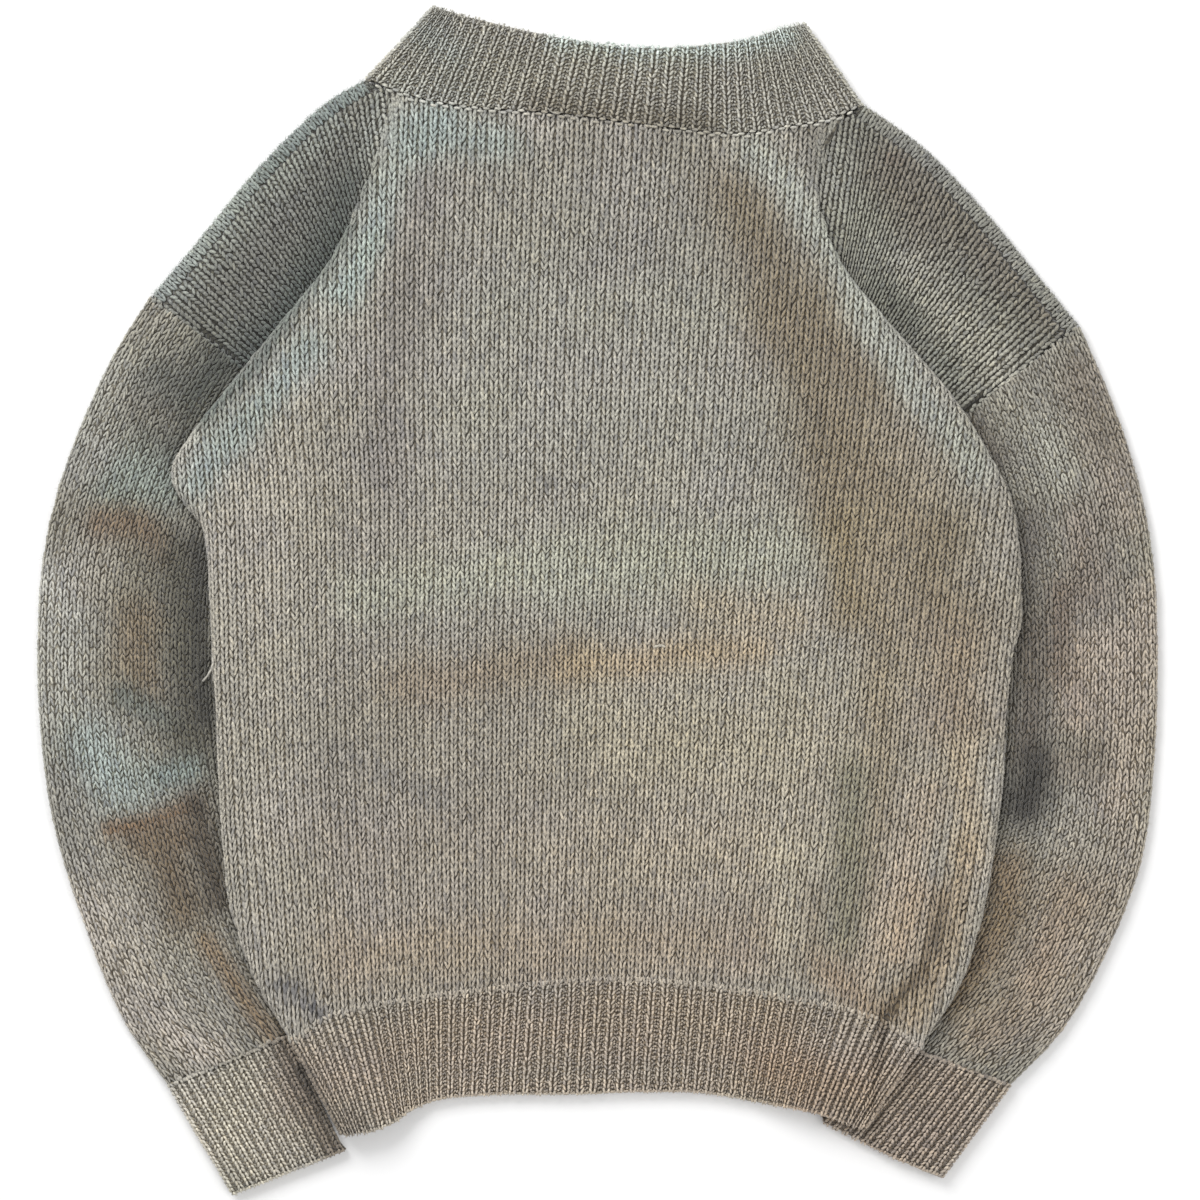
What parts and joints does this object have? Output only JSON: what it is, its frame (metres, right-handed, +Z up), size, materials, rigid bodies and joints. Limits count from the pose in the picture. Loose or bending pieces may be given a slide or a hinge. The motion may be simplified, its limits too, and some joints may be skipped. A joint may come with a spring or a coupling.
{
  "type": "knitted wool sweater laid flat",
  "caption": "Hand-knitted wool pullover laid flat, face up, sleeves folded down under the body's sides; ribbed neckband, cuffs and hem; faded marled grey-green wool",
  "frame": {"origin": "centre of the bounding box, on the table under the sweater", "axes": "+Y points to the neck, +X to the wearer's left sleeve (the visible face is up), +Z up from the table"},
  "size_m": [0.6721, 0.7144, 0.0171],
  "materials": {
    "body_knit": "soft marled wool stockinette, faded in cloudy patches",
    "sleeve_knit": "soft marled wool stockinette, a little darker than the body",
    "rib_knit": "marled wool rib"
  },
  "bodies": {
    "root": {"front_panel": "body_knit", "back_panel": "body_knit", "right_sleeve": "sleeve_knit", "left_sleeve": "sleeve_knit", "neckband": "rib_knit", "front_hem_rib": "rib_knit", "back_hem_rib": "rib_knit", "right_cuff": "rib_knit", "left_cuff": "rib_knit"}
  },
  "joints": []
}
